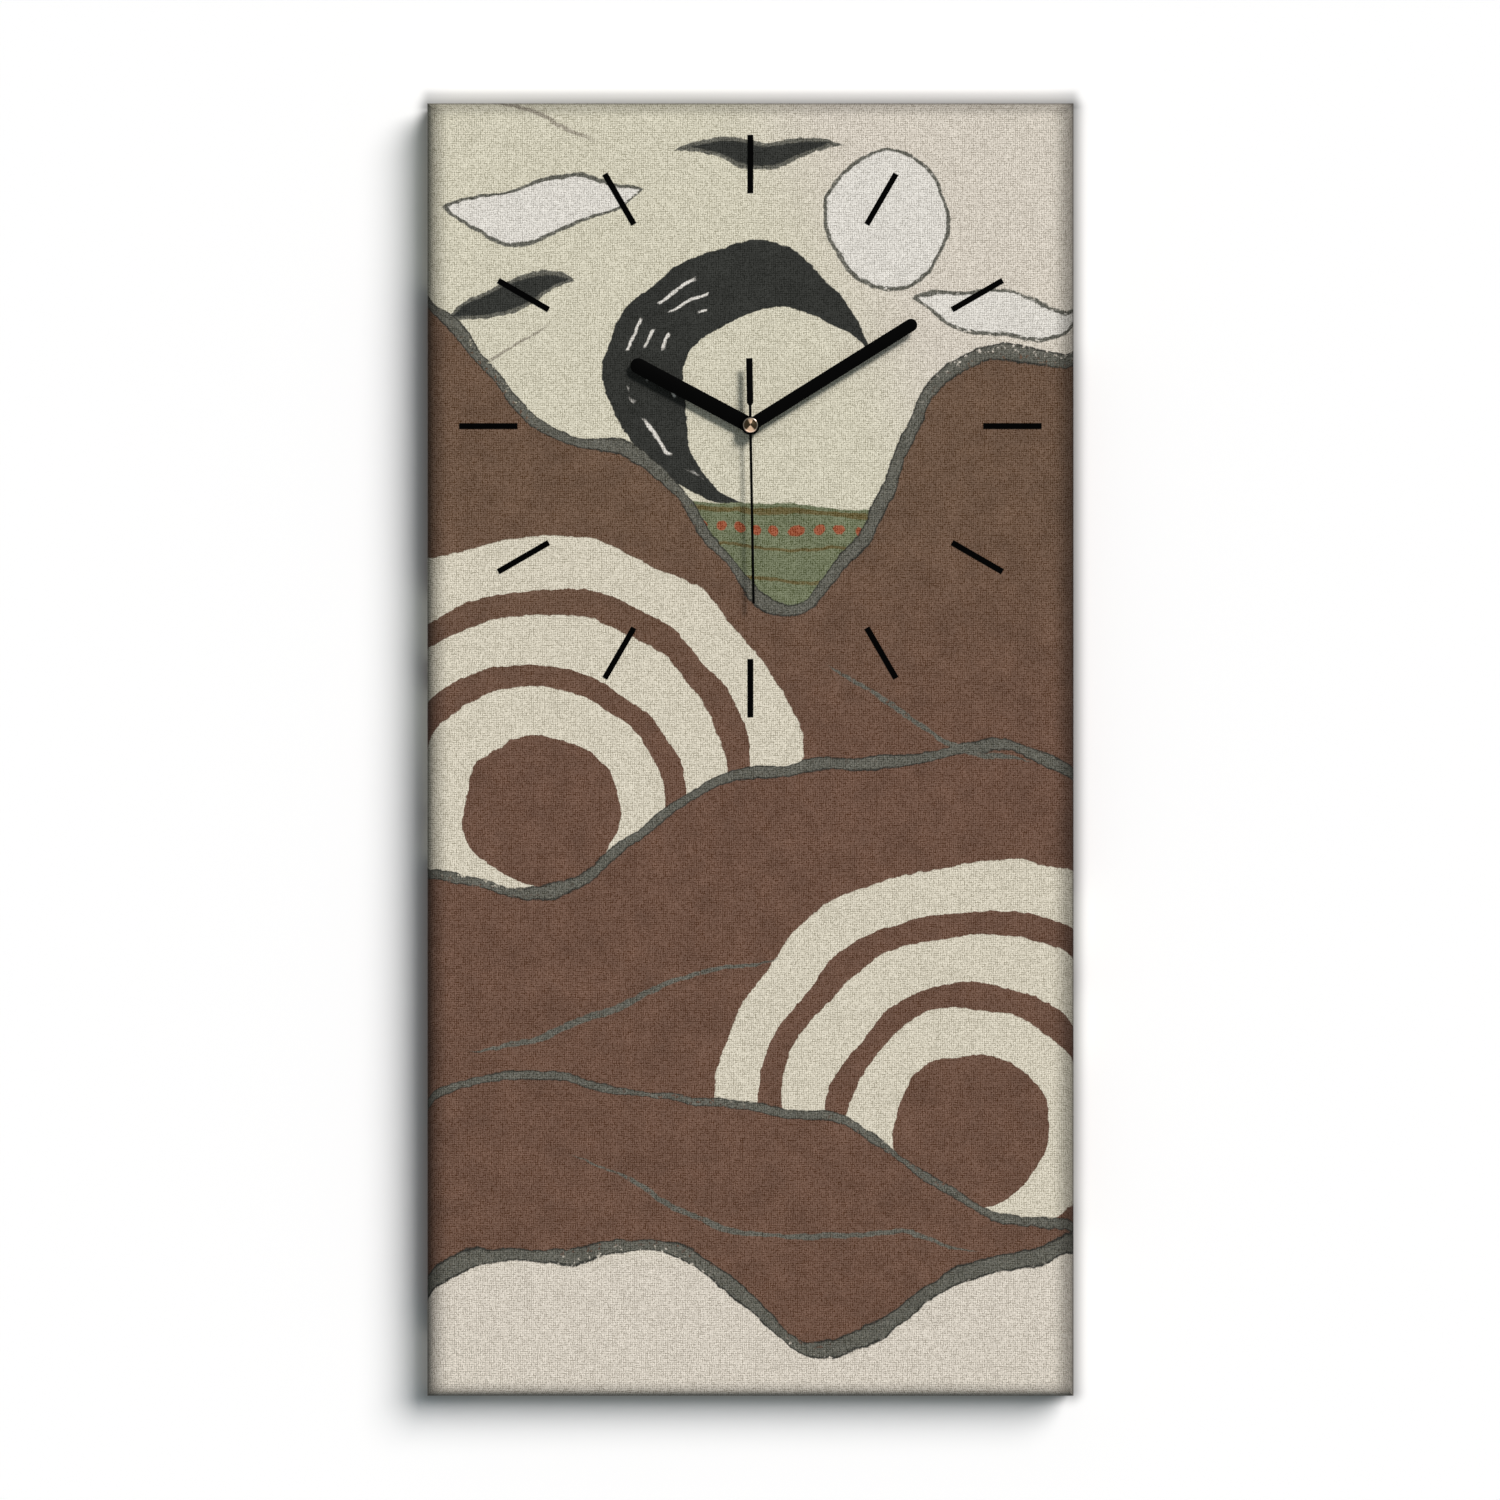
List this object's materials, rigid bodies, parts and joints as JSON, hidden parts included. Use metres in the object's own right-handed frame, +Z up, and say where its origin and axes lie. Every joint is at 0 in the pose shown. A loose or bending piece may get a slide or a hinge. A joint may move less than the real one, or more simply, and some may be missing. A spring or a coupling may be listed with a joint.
{
  "type": "canvas wall clock",
  "caption": "Tall printed canvas stretched over a mitred wooden frame, with a quartz movement behind it that turns black bar hands and a capped hub over a ring of hour marks.",
  "frame": {"origin": "middle notch of the sawtooth hanger, on the wall plane, where the nail carries the clock", "axes": "+Z up; the dial looks towards -Y and the wall is at y = 0; +X to the right as seen from the front"},
  "size_m": [0.3, 0.0328, 0.6],
  "materials": {
    "canvas": "primed cotton canvas, printed, fine plain weave",
    "hardboard": "hardboard, smooth front and meshed back",
    "pine": "planed pine, unfinished",
    "zinc_steel": "zinc-plated steel",
    "yellow_zinc": "yellow zinc-plated steel",
    "bumper_rubber": "soft black rubber",
    "black_vinyl": "matt black film",
    "foam": "white closed-cell foam tape",
    "black_abs": "black moulded plastic, fine spark texture",
    "natural_acetal": "natural white moulded plastic",
    "board_green": "green lacquered circuit board",
    "black_epoxy": "black resin cover",
    "silver_can": "drawn metal can",
    "copper_wire": "enamelled copper wire",
    "soft_iron": "blanked soft iron",
    "magnet": "sintered magnet, plated",
    "contact_metal": "nickel-plated spring strip",
    "battery_steel": "nickel-plated steel",
    "battery_wrap": "bare green shrink sleeve",
    "black_hand": "sheet aluminium, matt black paint",
    "brass_collet": "turned brass",
    "copper_cap": "turned and lacquered copper-coloured metal"
  },
  "bodies": {
    "clock_body": {"canvas_wrap": "canvas", "front_panel": "hardboard", "stile_left": "pine", "stile_right": "pine", "rail_top": "pine", "rail_bottom": "pine", "corner_nails": "zinc_steel", "canvas_staples": "zinc_steel", "hanger_plate": "yellow_zinc", "hanger_screws": "zinc_steel", "wall_bumpers": "bumper_rubber", "hour_marks": "black_vinyl", "foam_pad": "foam", "case_front": "black_abs", "case_back": "black_abs", "gear_bridge": "natural_acetal", "circuit_board": "board_green", "control_chip": "black_epoxy", "quartz_crystal": "silver_can", "coil_bobbin": "natural_acetal", "coil_winding": "copper_wire", "coil_core": "soft_iron", "stator": "soft_iron", "contact_positive": "contact_metal", "contact_negative": "contact_metal"},
    "second_train": {"second_shaft": "zinc_steel", "second_wheel": "natural_acetal", "second_hand": "black_hand", "second_collet": "brass_collet", "hub_cap": "copper_cap"},
    "minute_train": {"minute_tube": "natural_acetal", "centre_wheel": "natural_acetal", "minute_hand": "black_hand", "minute_collet": "brass_collet"},
    "hour_train": {"hour_wheel": "natural_acetal", "hour_hand": "black_hand", "hour_collet": "brass_collet"},
    "motion_work": {"motion_wheel": "natural_acetal"},
    "third_arbor": {"third_wheel": "natural_acetal"},
    "intermediate_arbor": {"intermediate_wheel": "natural_acetal"},
    "rotor": {"rotor_magnet": "magnet", "rotor_pinion": "natural_acetal"},
    "setting_stem": {"setting_pinion": "natural_acetal", "setting_knob": "black_abs"},
    "battery": {"battery_can": "battery_steel", "battery_sleeve": "battery_wrap"}
  },
  "joints": [
    {"name": "second_hand_turn", "type": "hinge", "parent": "clock_body", "child": "second_train", "pos_m": [0, -0.012, -0.136], "axis": [0, 1, 0], "continuous": true},
    {"name": "minute_hand_turn", "type": "hinge", "parent": "clock_body", "child": "minute_train", "pos_m": [0, -0.012, -0.136], "axis": [0, 1, 0], "continuous": true},
    {"name": "hour_hand_turn", "type": "hinge", "parent": "clock_body", "child": "hour_train", "pos_m": [0, -0.012, -0.136], "axis": [0, 1, 0], "continuous": true},
    {"name": "motion_wheel_turn", "type": "hinge", "parent": "clock_body", "child": "motion_work", "pos_m": [0.00761, -0.012, -0.13955], "axis": [0, 1, 0], "continuous": true},
    {"name": "third_wheel_turn", "type": "hinge", "parent": "clock_body", "child": "third_arbor", "pos_m": [0.00935, -0.012, -0.1306], "axis": [0, 1, 0], "continuous": true},
    {"name": "intermediate_wheel_turn", "type": "hinge", "parent": "clock_body", "child": "intermediate_arbor", "pos_m": [-0.0094, -0.012, -0.13057], "axis": [0, 1, 0], "continuous": true},
    {"name": "rotor_turn", "type": "hinge", "parent": "clock_body", "child": "rotor", "pos_m": [-0.0139, -0.012, -0.12278], "axis": [0, 1, 0], "continuous": true},
    {"name": "setting_knob_turn", "type": "hinge", "parent": "clock_body", "child": "setting_stem", "pos_m": [0.01551, -0.012, -0.14242], "axis": [0, 1, 0], "continuous": true},
    {"name": "battery_pull", "type": "slide", "parent": "clock_body", "child": "battery", "axis": [0, 1, 0], "range_m": [0, 0.02]}
  ],
  "couplings": [
    {"joint": "minute_hand_turn", "follows": "second_hand_turn", "ratio": 0.016667},
    {"joint": "hour_hand_turn", "follows": "second_hand_turn", "ratio": 0.0013889},
    {"joint": "motion_wheel_turn", "follows": "second_hand_turn", "ratio": -0.0055556},
    {"joint": "third_wheel_turn", "follows": "second_hand_turn", "ratio": -0.125},
    {"joint": "intermediate_wheel_turn", "follows": "second_hand_turn", "ratio": -6},
    {"joint": "rotor_turn", "follows": "second_hand_turn", "ratio": 30},
    {"joint": "setting_knob_turn", "follows": "second_hand_turn", "ratio": 0.016667}
  ]
}
